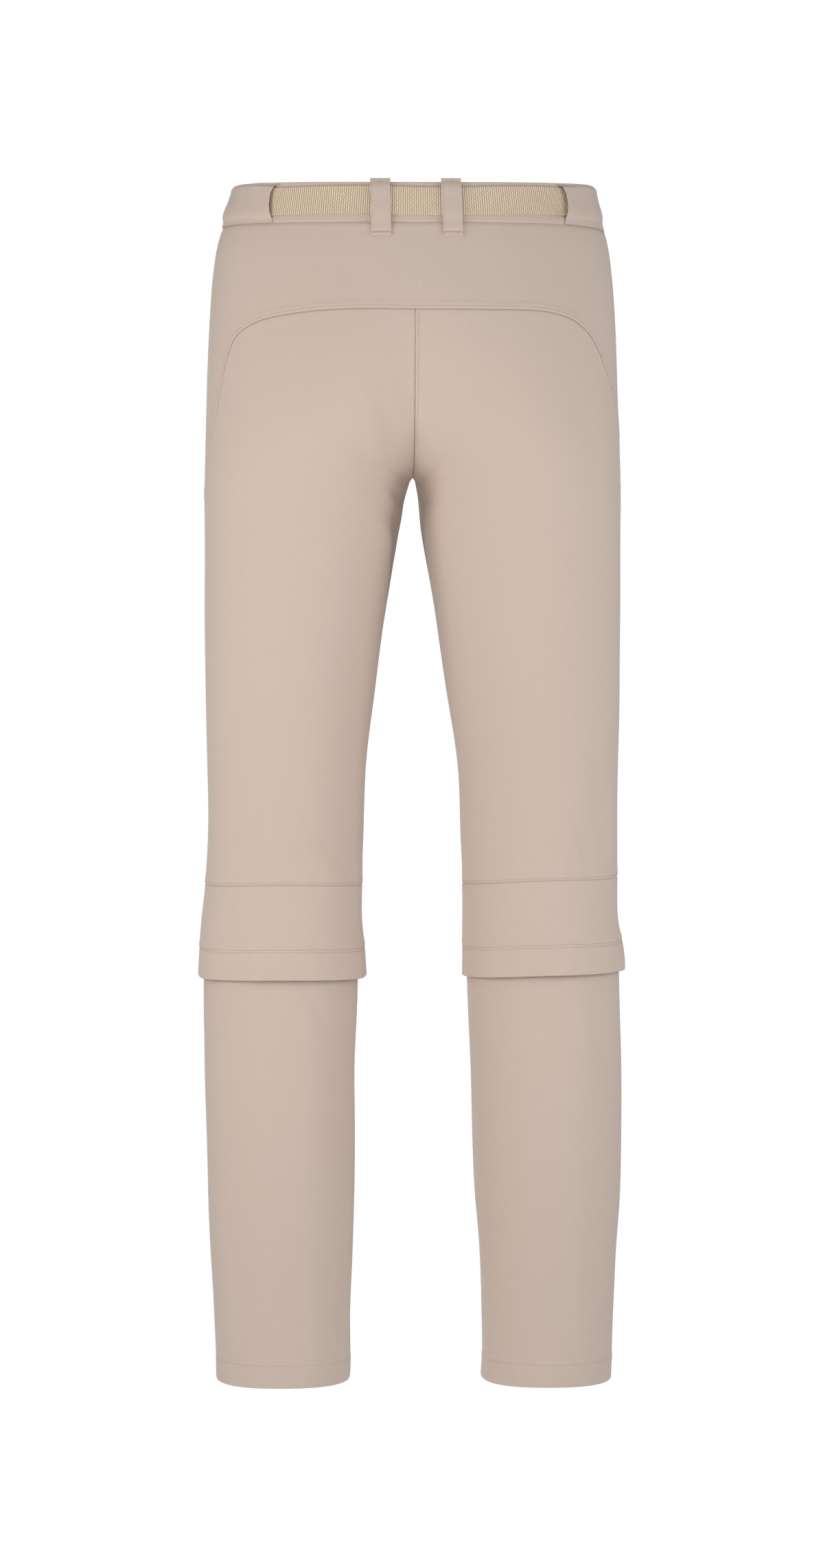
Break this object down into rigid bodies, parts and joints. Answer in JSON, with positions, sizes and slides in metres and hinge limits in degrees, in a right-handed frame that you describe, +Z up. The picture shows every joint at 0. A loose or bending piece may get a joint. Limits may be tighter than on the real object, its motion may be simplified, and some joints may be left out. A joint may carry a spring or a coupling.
{
  "type": "convertible zip-off trousers",
  "caption": "Straight-leg travel trousers with a webbing belt, back yoke and lower legs that zip off under a flap at the knee, in their worn hollow form.",
  "frame": {"origin": "centre of the waist opening, halfway up the waistband, where the garment is held on the body", "axes": "+Z up out of the waist, +Y towards the back of the garment, +X towards the wearer's left"},
  "size_m": [0.3704, 0.2348, 1.037],
  "materials": {
    "cloth": "matt",
    "waistband_cloth": "matt",
    "webbing": "ribbed",
    "zip_tape": "matt",
    "buckle_plastic": "satin"
  },
  "bodies": {
    "root": {"waistband": "waistband_cloth", "belt": "webbing", "buckle_socket": "buckle_plastic", "buckle_prong": "buckle_plastic", "belt_tunnel_left": "waistband_cloth", "belt_tunnel_right": "waistband_cloth", "belt_loop_left": "cloth", "belt_loop_right": "cloth", "yoke": "cloth", "fly": "cloth", "back_left": "cloth", "back_right": "cloth", "front_left": "cloth", "front_right": "cloth", "knee_band_left": "cloth", "knee_band_right": "cloth", "zip_left": "zip_tape", "zip_right": "zip_tape", "lower_back_left": "cloth", "lower_back_right": "cloth", "lower_front_left": "cloth", "lower_front_right": "cloth"}
  },
  "joints": []
}
